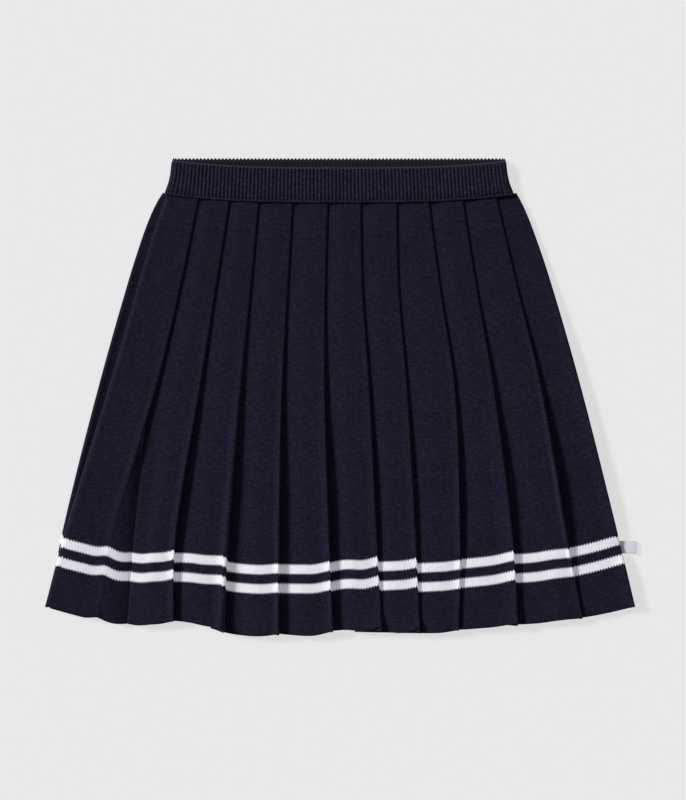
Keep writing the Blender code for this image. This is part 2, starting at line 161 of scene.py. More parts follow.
CURL_LENGTH, CURL_WIDTH = 13.0, 13.0   # how much of the hem turns up beside a fold,
CURL_BEND = 2.2            # how sharply it does so
CURL_FROM = 0.8            # only cloth that is this far above the front's lowest layer
CURL_PAST = 1.0            # the bend itself, up to here past its middle, curls too
SLANT = 1.3                # and how far the layer under it then shows past it

# ---- Back pleats: evenly spaced from the right rim to the left strip --------
BACK_FOLDS = 12
BACK_UNDERLAP, BACK_HEM_UNDERLAP = 12.0, 16.0
BACK_HEM_SAG = 11.0        # the back hem is this much lower in the middle
BACK_UNEVEN = 1.6          # how far a back fold strays from even spacing at the hem
SKIRT_HALF = 217.0
STRIP_ROLL, STRIP_FLARE = 1.8, 6.0     # the last back fold stands up at the left edge,
STRIP_DOWN_TO = 0.25                   # and has its full roll from here down
LEFT_RIM_R, LEFT_CROWN = 1.2, 3.7      # the left rim's turn below, and its width above
LEFT_CROWN_RISE = 3.2
RIM_ROUND = 1.0            # the right rim turns this sharply above and below,
RIM_HEIGHT = (5.4, 9.0)    # and stands this high at the waist and from the hip down,
RIM_DOWN_TO = 0.45         # which is here
RIM_FLARE, RIM_BEND = 9.0, 2.2         # the front climbs to it over this width
RIM_FOOT = (0.4, 1.3)      # how far the front has come up where that climb starts

# ---- Waistband --------------------------------------------------------------
BAND_LEFT, BAND_RIGHT = -124.9, 121.5
LEFT_LEAN, RIGHT_LEAN = 2.2, 2.4       # the ribs near the ends lean out this far,
LEFT_SPRING, RIGHT_SPRING = 4.7, 4.8   # and the last ones spring out more at the seam,
SPRING_WIDTH, SPRING_BEND = 9.0, 3.5   # over this width, and mostly near the seam
BAND_CORNER, CORNER_FROM = 0.8, 0.86   # the top corners are round from this height share
BAND_HEIGHT = 25.8
BAND_DEPTH = 9.0           # both walls and the slit between them
BAND_WALL = 3.0            # two layers of rib over the elastic
BAND_SLIT = BAND_DEPTH - 2 * BAND_WALL
RIB_PITCH = 2.7
RIB_DEPTH = 0.95
RIB_BEND = 0.5             # crests are broader than furrows
RIB_STEPS = 8              # points round one rib and its furrow
SCALLOP, SCALLOP_FROM = 1.2, 0.93      # each rib stands this far above the top edge's furrows
END_KEEPS, END_MOST = 0.7, 1.9         # how much of an inset the band's ends don't take
BAND_PROFILE = (
    # share of the height, how far the wall is set in there, share of the ribs' depth:
    # from the slit at the seam, round the lower edge, up outside, over the top, down inside
    (0.0, BAND_WALL, 0.0), (0.0, 2.6, 0.1), (0.006, 2.0, 0.1), (0.022, 1.5, 0.1),
    (0.04, 1.5, 0.2), (0.055, 1.9, 0.4), (0.068, 1.8, 0.6), (0.09, 1.15, 0.9),
    (0.13, 0.75, 1.0), (0.18, 0.4, 1.0),
    *((share, 0.15 * (1 - share), 1.0) for share in np.linspace(0.26, 0.88, 7)),
    (0.94, 0.0, 1.0), (0.965, 0.1, 0.8), (0.985, 0.35, 0.5), (0.997, 0.8, 0.4),
    (1.0, 1.4, 0.4), (0.996, 2.0, 0.5), (0.98, 2.6, 0.6), (0.94, BAND_WALL, 0.6),
    (0.88, BAND_WALL, 0.3), (0.6, BAND_WALL, 0.15), (0.4, BAND_WALL, 0.1),
)
BAND_TOP_ROW = [row[0] for row in BAND_PROFILE].index(1.0)

# ---- Side tab ---------------------------------------------------------------
TAB_HOLD = 3.4             # the tab holds the rim down this far
TAB_END, TAB_WIDTH, TAB_THICK, TAB_Y, TAB_Z = 217.4, 9.2, 1.1, -110.6, 1.9
TAB_SUNK = 0.2             # its ends go this far into the rim's wall
RIBBON = 0.42              # thickness of the ribbon
TAB_COLUMNS, TAB_POINTS, TAB_TURN = 15, 10, 8

# ---- Soft creases: x and y at the top, x and y lower down, half width, rise --
CREASES = (
    (138.0, -60.0, 153.8, -163.0, 3.5, -0.7),
    (128.0, -60.0, 141.0, -163.0, 8.0, 1.6),
    (161.0, -60.0, 160.0, -160.0, 6.0, 0.9),
    (-191.0, -40.0, -196.0, -150.0, 9.0, 0.5),
    (-94.0, -90.0, -94.5, -165.0, 4.0, -0.7),
    (-60.0, -80.0, -58.0, -170.0, 8.0, 0.5),
    (75.0, -90.0, 71.0, -170.0, 6.0, 0.5),
)
CREASE_END = 1.3           # a crease is still there past its lower end
CREASE_FROM = 0.5          # creases and swell start this far above the back's layers
SWELL = 0.22               # faces rise and fall softly by about this,
SWELL_LENGTH = 60.0        # and come to it over this length below the seam
SWELLS = (
    # share of it; the lengths in x and y, and the start, of two waves that are multiplied
    (1.0, (19.0, 47.0, 1.1), (-61.0, 33.0, 0.0)),
    (0.6, (9.0, -71.0, 0.0), (43.0, 21.0, 0.7)),
)

# ---- Knit -------------------------------------------------------------------
COURSE = 1.15              # one stitch up the cloth
WALE = 2.05                # and across. It is about 1.6, but finer wales don't show
STRIPES_MIDDLE, STRIPES_APART = 41.35, 14.1    # above the hem, and centre to centre
STRIPE_HALF = 3.3          # half of a stripe's width
TOOTH = 1.7                # a stripe's edge goes up and down by this at each wale
PAINTED_STRIPE_LIGHT = 0.22          # the white stripes glow by this: painted light that keeps them white in a fold's shade

# ---- How finely the cloth is drawn ------------------------------------------
FRONT_ROWS, BACK_ROWS = 108, 84
ROW_CROWD = 0.5            # how much closer together the rows are at the hem
FACE_POINTS, LAST_FACE_POINTS = 23, 26
BACK_FACE_POINTS, FIRST_BACK_POINTS, UNDER_POINTS = 16, 12, 6
RETURN_POINTS = 7
OUTER_STEPS, BACK_OUTER_STEPS, INNER_STEPS, SEAM_STEPS = 9, 6, 5, 4
RIM_STEPS, LEFT_RIM_STEPS, LEFT_CROWN_STEPS = 6, 5, 8


def mix(a, b, t):
    return a + (b - a) * t


def clamp(t):
    return min(max(t, 0.0), 1.0)


def ease(t):
    """From 0 to 1 with a level start and end."""
    return t * t * (3 - 2 * t)


def turns(first, last, steps):
    """Angles of the points round a bend."""
    return [mix(first, last, i / steps) for i in range(steps + 1)]


def between(a, b, start, end, t):
    """Smooth curve from a to b that leaves and comes in with these slopes."""
    return ((2 * t ** 3 - 3 * t ** 2 + 1) * a + (t ** 3 - 2 * t ** 2 + t) * start
            + (3 * t ** 2 - 2 * t ** 3) * b + (t ** 3 - t ** 2) * end)


def through(stops, values, t):
    """Smooth curve through the values at the stops."""
    last = len(stops) - 1
    i = max(j for j in range(last) if stops[j] <= t or j == 0)

    def slope(j):
        a, b = max(j - 1, 0), min(j + 1, last)
        return (values[b] - values[a]) / (stops[b] - stops[a])

    width = stops[i + 1] - stops[i]
    return between(values[i], values[i + 1], slope(i) * width, slope(i + 1) * width,
                   (t - stops[i]) / width)


def front_seam_y(x):
    return SEAM_Y - SEAM_DIP * (1 - min(abs(x) / WAIST_HALF, 1) ** SEAM_POWER)


def back_seam_y(x):
    return BACK_SEAM_Y + BACK_TUCK * (1 - min(abs(x) / WAIST_HALF, 1) ** BACK_TUCK_POWER)


def back_hem_y(x):
    return LINES["left_strip"][-1] - BACK_HEM_SAG * (1 - min(abs(x) / SKIRT_HALF, 1) ** 2)


def line_x(name, v):
    spring = HIP_SPRING.get(name, 0.0) * v / HIP_AT * math.exp(1 - v / HIP_AT)
    return through(STOPS, LINES[name][:5], v) + spring


def pressed(v):
    """The share of their full height that the layers have at v."""
    return mix(PRESSED, 1.0, ease(clamp(v / PRESSED_DOWN_TO)))


# ---- Pleats: each gives its fold edge, hidden return and heights at v -------
class Pleat:
    """One knife pleat: an outer fold, a return under it and an inner fold."""

    def __init__(self, side, outer_x, inner_x, outer_hem, inner_hem, roll=TIGHT,
                 lifts=(0.0, 0.0), flare=STRIP_FLARE, valleys=(0.0, 0.0), curl=0.0):
        self.side = side                    # 1 on the front, -1 on the back
        self.outer_x = outer_x              # x of each fold's edge at v
        self.inner_x = inner_x
        self.outer_hem = outer_hem          # y of each fold at the hem
        self.inner_hem = inner_hem
        self.roll = roll                    # radius of the outer fold at the hem
        self.lifts = lifts                  # how far its edge stands up, low and at the hem
        self.edge_width = flare             # width of the part that stands up
        self.valleys = valleys              # how wide the next face lies low beside it
        self.curl = curl                    # how far the hem turns up beside it

    def outer_radius(self, v):
        if self.side < 0:
            return mix(TIGHT, self.roll, clamp(v / STRIP_DOWN_TO))
        return mix(EDGE_ROUND, self.roll, v ** ROLL_BEND)

    def lift(self, v):
        low, hem = self.lifts
        values = 0.0, 0.0, LIFT_AT_MIDDLE * low, low, hem
        return max(through(LOW_STOPS, values, min(v, LOW_STOPS[-1])), 0.0)

    def valley(self, v):
        low, hem = self.valleys
        values = 0.0, 0.0, VALLEY_AT_MIDDLE * low, low, hem
        return max(through(LOW_STOPS, values, min(v, LOW_STOPS[-1])), VALLEY_LEAST)

    def inner_z(self):
        return BACK_STACK if self.side < 0 else FRONT_BASE

    def outer_z(self, v):
        if self.side < 0:
            return BACK_FACE
        return FACE_TOP + EDGE_RISE + self.lift(v)

    def flare(self, v):
        """Width of the lifted edge, how high it stands, and its slope at the fold."""
        if self.side < 0:
            return self.edge_width, 2 * (self.outer_radius(v) - TIGHT), 0.0
        width = mix(FLARE, self.edge_width, clamp(v / FLARE_DOWN_TO))
        height = EDGE_RISE + self.lift(v)
        return width, height, math.atan(FLARE_BEND * height / width)

    def row_y(self, v, x, hem):
        """Height up the skirt of the row at v, in a column that ends at this hem."""
        top = back_seam_y(x) if self.side < 0 else front_seam_y(x)
        return mix(top + PLEAT_TUCK, hem, v)

    def bends(self, v):
        """Centre and radius of the outer bend and of the inner one, how far each turns
        when the cloth between them is straight, and how far the pleat is pressed shut."""
        s = self.side
        lap = s * (self.outer_x(v) - self.inner_x(v))
        r_out = self.outer_radius(v) + OPEN_SOFTNESS * max(0, -lap)
        r_in = TIGHT + OPEN_SOFTNESS * max(0, -lap)
        near = clamp(lap / (4 * r_out) + 0.5)
        out = (self.outer_x(v) - s * r_out * near, self.outer_z(v) - s * r_out, r_out)
        inn = (self.inner_x(v) + s * r_in * near, self.inner_z() + s * r_in, r_in)
        dx, dz = s * (inn[0] - out[0]), s * (inn[1] - out[1])
        reach = max(math.hypot(dx, dz), r_out + r_in)
        turn = math.atan2(-dz, dx) + math.asin((r_out + r_in) / reach)
        starts, ends = SHUT_LAPS
        return out, inn, turn, ease(clamp((lap - starts) / (ends - starts)))

    def outer_bend(self, v, steps, turn):
        """Points round the outer fold, from the face to the return."""
        cx, cz, r = self.bends(v)[0]
        slant = SLANT * self.curl * v ** NEAR_SLANT
        return [(cx + self.side * r * math.sin(angle), cz + self.side * r * math.cos(angle),
                 self.row_y(v, self.outer_x(v), self.outer_hem) - slant * i / steps)
                for i, angle in enumerate(turns(-self.flare(v)[2], turn, steps))]

    def inner_bend(self, v, steps, turn, seam=None):
        """Points round the inner fold, from the return to the next face.

        With a seam down the fold, only the part above or below the seam.
        """
        cx, cz, r = self.bends(v)[1]
        cut = SEAM / 2 / r
        first, last = {None: (turn, 0.0), "above": (turn, turn / 2 + cut),
                       "below": (turn / 2 - cut, 0.0)}[seam]
        return [(cx - self.side * r * math.sin(angle), cz - self.side * r * math.cos(angle),
                 self.row_y(v, self.inner_x(v), self.inner_hem))
                for angle in turns(first, last, steps)]


def front_pleats():
    pleats = []
    for i, row in enumerate(FOLDS):
        fold = dict(zip(FOLD_COLUMNS, row))

        def outer(v, row=row):
            return through(STOPS, row[:len(STOPS)], v)

        def inner(v, outer=outer, fold=fold):
            if fold["underlap"] is None:
                return line_x("left_seam", v)
            return outer(v) - mix(fold["underlap"], fold["hem_underlap"], v)

        pleats.append(Pleat(1, outer, inner, FACE_HEMS[i][-1], FACE_HEMS[i + 1][0],
                            fold["roll"], (fold["low_lift"], fold["hem_lift"]),
                            fold["flare"], (fold["low_valley"], fold["hem_valley"]),
                            fold["curl"]))
    return pleats


def back_pleats():
    pleats = []
    for i in range(1, BACK_FOLDS + 1):
        share = i / BACK_FOLDS
        stray = BACK_UNEVEN * math.sin(2.4 * i) * math.sin(math.pi * share)

        def outer(v, share=share, stray=stray):
            return mix(line_x("right_rim", v), line_x("left_strip", v), share) + stray * v

        def inner(v, outer=outer):
            return outer(v) + mix(BACK_UNDERLAP, BACK_HEM_UNDERLAP, v)

        hem = back_hem_y(outer(1.0))
        roll = STRIP_ROLL if i == BACK_FOLDS else TIGHT
        pleats.append(Pleat(-1, outer, inner, hem, hem, roll))
    return pleats


# ---- Faces: the cloth from one pleat's inner fold to the next outer fold ----
def eased(points, count):
    """Fill a face in between its few (x, z) points, with no bump past any of them."""
    x = np.array([p[0] for p in points])
    z = np.array([p[1] for p in points])
    way = 1.0 if x[-1] > x[0] else -1.0
    steps = np.diff(x) * way
    rise = np.diff(z) / steps
    slope = np.zeros(len(x))
    inside = rise[:-1] * rise[1:] > 0
    w1, w2 = 2 * steps[1:] + steps[:-1], steps[1:] + 2 * steps[:-1]
    safe = np.where(inside, rise[:-1], 1.0), np.where(inside, rise[1:], 1.0)
    slope[1:-1] = np.where(inside, (w1 + w2) / (w1 / safe[0] + w2 / safe[1]), 0.0)
    share = 0.5 - 0.5 * np.cos(np.pi * np.arange(1, count + 1) / (count + 1))
    at = x[0] + (x[-1] - x[0]) * share
    k = np.clip(np.searchsorted(x * way, at * way) - 1, 0, len(steps) - 1)
    filled = between(z[k], z[k + 1], steps[k] * slope[k], steps[k] * slope[k + 1],
                     (at - x[k]) * way / steps[k])
    return list(zip(at.tolist(), filled.tolist()))


def hung(points, v, top, start, end, hems):
    """Give (x, z) points their y; hems are the hem's y from start to end, two or five."""
    placed = []
    for x, z in points:
        share = clamp((x - start) / (end - start))
        low = mix(*hems, share) if len(hems) == 2 else through(FACE_SHARES, hems, share)
        placed.append((x, z, mix(top(x) + PLEAT_TUCK, low, v)))
    return placed


def shoulder(pleat, v):
    """Where a front face comes to lie on its own pleat's hidden layers."""
    lap = max(pleat.outer_x(v) - pleat.inner_x(v), OPEN_SHOULDER)
    return pleat.outer_x(v) - lap, FACE_TOP + REST


def climbed(points, end_x, rise, width, bend):
    """Carry a face's last points up by this rise to its standing edge."""
    return [(x, z + rise * clamp(1 - (end_x - x) / width) ** bend) for x, z in points]


def over_shoulder(points, count, pleat, v, start, face):
    """Fill a front face in from these points, over its shoulder to its fold's edge."""
    cx, cz, r = pleat.bends(v)[0]
    width, _, slope = pleat.flare(v)
    end_x, end_z = cx - r * math.sin(slope), cz + r * math.cos(slope)
    shoulder_x, level = shoulder(pleat, v)
    filled = eased(points + [(shoulder_x, level), (end_x, level + REST)], count)
    lifted = climbed(filled, end_x, end_z - level, width, FLARE_BEND)
    return hung(lifted, v, front_seam_y, start, pleat.outer_x(v), FACE_HEMS[face])


def front_face(face, before, pleat, v):
    """From under the last fold's edge, up the slope and over the shoulder."""
    in_x, in_z, in_r = before.bends(v)[1]
    toe_x = max(before.outer_x(v), before.inner_x(v) + OPEN_TOE) + TOE_PAST
    tucked = clamp(1 - before.valley(v) / SHUT_VALLEY)
    toe_z = FRONT_BASE + TOE_RISE + HEM_TOE * v * v * tucked
    shoulder_x, shoulder_z = shoulder(pleat, v)
    span = shoulder_x - toe_x
    valley_x = toe_x + min(before.valley(v), VALLEY_MOST * span)
    bank_x = valley_x + min(BANK, BANK_MOST * span)
    points = [(in_x, in_z - in_r), (toe_x, toe_z), (valley_x, toe_z + VALLEY_RISE),
              (bank_x, mix(toe_z, shoulder_z, mix(*BANK_RISE, v)))]
    return over_shoulder(points, FACE_POINTS, pleat, v, before.inner_x(v), face)


def back_face(before, pleat, v):
    """Level over the last pleat, a step down, then flat on the table."""
    in_x, in_z, in_r = before.bends(v)[1]
    out_x, out_z, out_r = pleat.bends(v)[0]
    edge = before.outer_x(v)
    foot_x = edge - STEP_START - STEP
    points = [(in_x, in_z + in_r), (edge - STEP_START, BACK_STACK), (foot_x, BACK_FACE),
              (mix(foot_x, pleat.inner_x(v), 0.5), BACK_FACE), (out_x, out_z - out_r)]
    return hung(eased(points, BACK_FACE_POINTS), v, back_seam_y, before.inner_x(v),
                pleat.outer_x(v), (before.inner_hem, pleat.outer_hem))


def rim_y(name, v, z, low, high):
    """Row height round a rim: the back seam at its foot, the front seam on top."""
    share = clamp((z - low) / (high - low))
    top = mix(BACK_SEAM_Y, front_seam_y(line_x(name, 0.0)), share)
    return mix(top + PLEAT_TUCK, LINES[name][-1], v)


def rim_edge_y(v):
    """How far up the skirt the right rim is at v."""
    return mix(BACK_SEAM_Y, LINES["right_rim"][-1], v)


def right_rim_top(v):
    """Height of the right rim, of the front beside it, and the slope between them."""
    share = ease(clamp(v / RIM_DOWN_TO))
    height, level = mix(*RIM_HEIGHT, share), FRONT_BASE + mix(*RIM_FOOT, share)
    height -= TAB_HOLD * math.exp(-((rim_edge_y(v) - TAB_Y) / TAB_WIDTH) ** 2)
    return height, level, math.atan(RIM_BEND * max(height - level, 0.0) / RIM_FLARE)


def right_rim(v, upper):
    """Points round the right rim: its upper turn and half the wall, or the lower."""
    edge, r = line_x("right_rim", v), RIM_ROUND
    top, _, slope = right_rim_top(v)
    middle = (BACK_FACE + top) / 2
    if upper:
        points = [(edge - r + r * math.sin(a), top - r + r * math.cos(a))
                  for a in turns(-slope, math.pi / 2, RIM_STEPS)]
        points += [(edge, mix(top - r, middle + SEAM / 2, share)) for share in (0.5, 1.0)]
    else:
        points = [(edge, mix(middle - SEAM / 2, BACK_FACE + r, share)) for share in (0.0, 0.5)]
        points += [(edge - r + r * math.cos(a), BACK_FACE + r - r * math.sin(a))
                   for a in turns(0.0, math.pi / 2, RIM_STEPS)]
    return [(x, z, rim_y("right_rim", v, z, BACK_FACE, top)) for x, z in points]


def left_rim(v):
    """Points round the left rim, from the back up to the front: tight below, broad above."""
    edge, r = line_x("left_rim", v), LEFT_RIM_R
    top = BACK_STACK + r + LEFT_CROWN_RISE
    points = [(edge + r - r * math.sin(a), BACK_STACK + r - r * math.cos(a))
              for a in turns(0.0, math.pi / 2, LEFT_RIM_STEPS)]
    points += [(edge + LEFT_CROWN - LEFT_CROWN * math.cos(a),
                BACK_STACK + r + LEFT_CROWN_RISE * math.sin(a))
               for a in turns(0.0, math.pi / 2, LEFT_CROWN_STEPS)[1:]]
    return [(x, z, rim_y("left_rim", v, z, BACK_STACK, top)) for x, z in points]


def right_wrap_front(face, before, v):
    """The last front face, from its inner fold up to the right rim's standing edge."""
    in_x, in_z, in_r = before.bends(v)[1]
    top, level, slope = right_rim_top(v)
    centre_x = line_x("right_rim", v) - RIM_ROUND
    end_x = centre_x - RIM_ROUND * math.sin(slope)
    end_z = top - RIM_ROUND + RIM_ROUND * math.cos(slope)
    toe_x = before.outer_x(v) + TOE_PAST
    valley_x = toe_x + min(before.valley(v), LAST_VALLEY_MOST * (end_x - toe_x))
    points = [(in_x, in_z - in_r), (toe_x, FRONT_BASE + TOE_RISE),
              (valley_x, FRONT_BASE + TOE_RISE + REST),
              (mix(valley_x, end_x, LAST_LEVEL_AT), level), (end_x, level + REST)]
    lifted = climbed(eased(points, LAST_FACE_POINTS), end_x, end_z - level - REST, RIM_FLARE,
                     RIM_BEND)
    return hung(lifted, v, front_seam_y, before.inner_x(v), centre_x, FACE_HEMS[face])


def right_wrap_back(pleat, v):
    """The first back face, from the right rim to its outer fold."""
    rim_x = line_x("right_rim", v) - RIM_ROUND
    out_x, out_z, out_r = pleat.bends(v)[0]
    points = eased([(rim_x, BACK_FACE), (out_x, out_z - out_r)], FIRST_BACK_POINTS)
    return hung(points, v, back_seam_y, rim_x, pleat.outer_x(v),
                (LINES["right_rim"][-1], pleat.outer_hem))


def left_wrap(before, pleat, v):
    """From the last back pleat's inner fold, round the left rim, to the first fold."""
    in_x, in_z, in_r = before.bends(v)[1]
    rim_x = line_x("left_rim", v) + LEFT_RIM_R
    under = eased([(in_x, in_z + in_r), (rim_x, BACK_STACK)], UNDER_POINTS)
    under = hung(under, v, back_seam_y, before.inner_x(v), rim_x,
                 (before.inner_hem, LINES["left_rim"][-1]))
    turn = left_rim(v)
    top_x, top_z, _ = turn[-1]
    shoulder_x, shoulder_z = shoulder(pleat, v)
    points = [(top_x, top_z), (mix(top_x, shoulder_x, 0.5), mix(top_z, shoulder_z, 0.5))]
    return under + turn + over_shoulder(points, LAST_FACE_POINTS, pleat, v, rim_x, 0)


# ---- Sections: one row of the cloth, from one side seam to the other --------
def pressed_return(pleat, v, outer, inner):
    """Points of the return, flat under the face and curving up to the lifted edge."""
    a, b = outer[-1], inner[0]
    width = pleat.flare(v)[0]
    points = []
    for i in range(1, RETURN_POINTS + 1):
        share = (i / (RETURN_POINTS + 1)) ** RETURN_BEND
        x, y = mix(a[0], b[0], share), mix(a[2], b[2], share)
        up = clamp(1 - abs(x - a[0]) / width) ** FLARE_BEND
        points.append((x, mix(b[1], a[1], up), y))
    return points


def open_return(pleat, v, outer, inner):
    """Points of the return of a fold that opens: it bulges, and its hem hangs."""
    a, b = outer[-1], inner[0]
    points = []
    for i in range(1, RETURN_POINTS + 1):
        share = i / (RETURN_POINTS + 1)
        full = math.sin(math.pi * share)
        bulge = RETURN_BULGE * full * clamp(abs(b[0] - a[0]) / BULGE_WIDTH)
        points.append((mix(a[0], b[0], share), mix(a[1], b[1], share) + bulge,
                       mix(a[2], b[2], share) - RETURN_SAG * v ** NEAR_SAG * full))
    return points


def whole_pleat(pleat, v, seam=None):
    """Outer fold, return and inner fold: pressed shut, open or on the way.

    Also gives which of its points is the fold's edge.
    """
    outer_steps = OUTER_STEPS if pleat.side > 0 else BACK_OUTER_STEPS
    inner_steps = SEAM_STEPS if seam else INNER_STEPS
    turn, shut = pleat.bends(v)[2:]
    outer = pleat.outer_bend(v, outer_steps, math.pi - pleat.flare(v)[2])
    inner = pleat.inner_bend(v, inner_steps, math.pi, seam)
    pressed_shut = outer + pressed_return(pleat, v, outer, inner) + inner
    if shut == 1.0:
        return pressed_shut, len(outer) // 2
    outer = pleat.outer_bend(v, outer_steps, turn)
    inner = pleat.inner_bend(v, inner_steps, turn, seam)
    opened = outer + open_return(pleat, v, outer, inner) + inner
    on_the_way = [tuple(mix(p[k], q[k], shut) for k in range(3))
                  for p, q in zip(opened, pressed_shut)]
    return on_the_way, len(outer) // 2


def front_section(front, v):
    """Row points and, for each, which outer fold its wales are counted from."""
    points = whole_pleat(front[0], v, "below")[0][-SEAM_STEPS - 1:]
    fold_at = []
    for i, pleat in enumerate(front[1:], 1):
        points += front_face(i, front[i - 1], pleat, v)
        fold, apex = whole_pleat(pleat, v)
        fold_at.append(len(points) + apex)
        points += fold
    points += right_wrap_front(len(front), front[-1], v)
    points += right_rim(v, True)
    fold_at.append(len(points) - 1)
    return points, fold_at


def back_section(front, back, v):
    points = right_rim(v, False)
    points += right_wrap_back(back[0], v)
    fold_at = []
    for i, pleat in enumerate(back):
        if i:
            points += back_face(back[i - 1], pleat, v)
        fold, apex = whole_pleat(pleat, v)
        fold_at.append(len(points) + apex)
        points += fold
    points += left_wrap(back[-1], front[0], v)
    fold, apex = whole_pleat(front[0], v, "above")
    fold_at.append(len(points) + apex)
    points += fold
    return points, fold_at


def steps_across(row):
    """Distances between a row's points, one to the next."""
    return np.hypot(np.diff(row[:, 0]), np.diff(row[:, 1]))


def run_across(row):
    """How far each point is from the row's first."""
    return np.concatenate([[0.0], np.cumsum(steps_across(row))])


def wale_counts(row, fold_at):
    """Distance across the cloth from the outer fold of each point's own face."""
    run = run_across(row)
    ends = np.array(fold_at)
    own = ends[np.clip(np.searchsorted(ends, np.arange(len(row))), 0, len(ends) - 1)]
    return run - run[own]


def smooth_rows(count):
    """Rows down the cloth, closer together towards the hem."""
    t = np.linspace(0.0, 1.0, count)
    return t * (1 + ROW_CROWD) - ROW_CROWD * t ** 2


def settle(grid, rows, front):
    """Press the layers at the waist, and give the cloth its unevenness."""
    x, z, y = grid[:, :, 0], grid[:, :, 1], grid[:, :, 2]
    height = z.copy()
    for i, v in enumerate(rows):
        height[i] *= pressed(float(v))
    upper = np.clip((z - BACK_STACK - CREASE_FROM) / LAYER, 0.0, 1.0)
    for crest_x, top_y, foot_x, low_y, half, lift in CREASES:
        along = np.clip((top_y - y) / (top_y - low_y), 0.0, CREASE_END)
        centre = crest_x + (foot_x - crest_x) * along
        strength = np.sin(np.minimum(along, 1.0) * math.pi / 2)
        height += upper * lift * strength * np.exp(-((x - centre) / half) ** 2)
    depth = np.clip((SEAM_Y - y) / SWELL_LENGTH, 0.0, 1.0)
    for share, *waves in SWELLS:
        first, second = (np.sin(x / across + y / along + start) for across, along, start in waves)
        height += SWELL * upper * depth * share * first * second
    length = hem_distance(np.stack([x, height, y], -1))
    for pleat in front:
        edge = pleat.outer_x(1.0)
        near = np.exp(-((x - edge) / CURL_WIDTH) ** 2)
        near = np.where(x > edge + CURL_PAST, 0.0, near)
        turn = np.clip(1 - length / CURL_LENGTH, 0.0, 1.0) ** CURL_BEND
        top = np.clip((z - FRONT_BASE - CURL_FROM) / LAYER, 0.0, 1.0)
        height += pleat.curl * near * turn * top
    seam = np.array([line_x("left_seam", float(v)) for v in rows])[:, None]
    groove = np.exp(-((x - seam) / GROOVE_HALF) ** 2) * upper
    height -= SEAM_GROOVE * groove * np.array(rows)[:, None] ** 2
    return np.stack([x, height, y], -1)


def stripe_strays(x, fold_at, strays):
    """How far the stripes stray up the cloth in each column, which has its hem at x."""
    columns = np.zeros(len(x))
    start = 0
    for end, stray in zip(fold_at, strays):
        first = x[max(start - 1, 0)]
        share = (x[start:end + 1] - first) / (x[end] - first)
        columns[start:end + 1] = np.interp(share, (0.0, 0.5, 1.0), stray)
        start = end + 1
    columns[start:] = columns[start - 1]
    return columns


def hem_distance(grid):
    """How far each point is above the hem, along its own wale."""
    step = np.sqrt((np.diff(grid, axis=0) ** 2).sum(-1))
    below = np.cumsum(step[::-1], axis=0)[::-1]
    return np.concatenate([below, np.zeros((1, grid.shape[1]))])


def knitted_panel(name, section, rows, material, front, strays):
    """Loft the cloth through its rows and give it thickness."""
    grid, across = [], []
    rows = smooth_rows(rows)
    for v in rows:
        points, fold_at = section(float(v))
        grid.append(np.array(points))
        across.append(wale_counts(grid[-1], fold_at))
    grid = settle(np.array(grid), rows, front)
    up = hem_distance(grid) - stripe_strays(grid[-1, :, 0], fold_at, strays)
    piece = lofted(name, grid[:, :, (0, 2, 1)], np.stack([across, up], -1), material,
                   order=(0, 1, 2, 3))
    thicken(piece, CLOTH, True)
    cut_waist, cut_hem = (float(steps_across(row).sum()) * MM for row in (grid[0], grid[-1]))
    return piece, cut_waist, cut_hem


def lofted(name, points, uv, material, order=(0, 3, 2, 1), closed=False):
    """A smooth mesh through rows of (x, y, z), with UVs in millimetres across and up the
    cloth. The order is that of a face's corners; a closed one goes round both ways."""
    index = np.arange(points.shape[0] * points.shape[1]).reshape(points.shape[:2])
    if closed:
        index = np.pad(index, ((0, 1), (0, 1)), "wrap")
    corners = index[:-1, :-1], index[1:, :-1], index[1:, 1:], index[:-1, 1:]
    faces = np.stack([corners[k] for k in order], -1).reshape(-1, 4)
    mesh = bpy.data.meshes.new(name)
    mesh.from_pydata((points.reshape(-1, 3) * MM).tolist(), [], faces.tolist())
    layer = mesh.uv_layers.new(name="cloth")
    at = np.empty(len(mesh.loops), dtype=np.int32)
    mesh.loops.foreach_get("vertex_index", at)
    layer.data.foreach_set("uv", uv.reshape(-1, 2)[at].astype(np.float32).ravel())
    mesh.materials.append(material)
    mesh.shade_smooth()
    piece = bpy.data.objects.new(name, mesh)
    bpy.context.scene.collection.objects.link(piece)
    return piece


def thicken(piece, thickness, even):
    """Give a sheet its thickness, half to each side."""
    wall = piece.modifiers.new("thickness", "SOLIDIFY")
    wall.thickness = thickness * MM
    wall.offset = 0.0
    wall.use_even_offset = even


# ---- Waistband --------------------------------------------------------------
def front_share(z):
    """0 on the back wall of the band, 1 on the front one."""
    return np.clip((z - BAND_WALL) / BAND_SLIT, 0.0, 1.0)


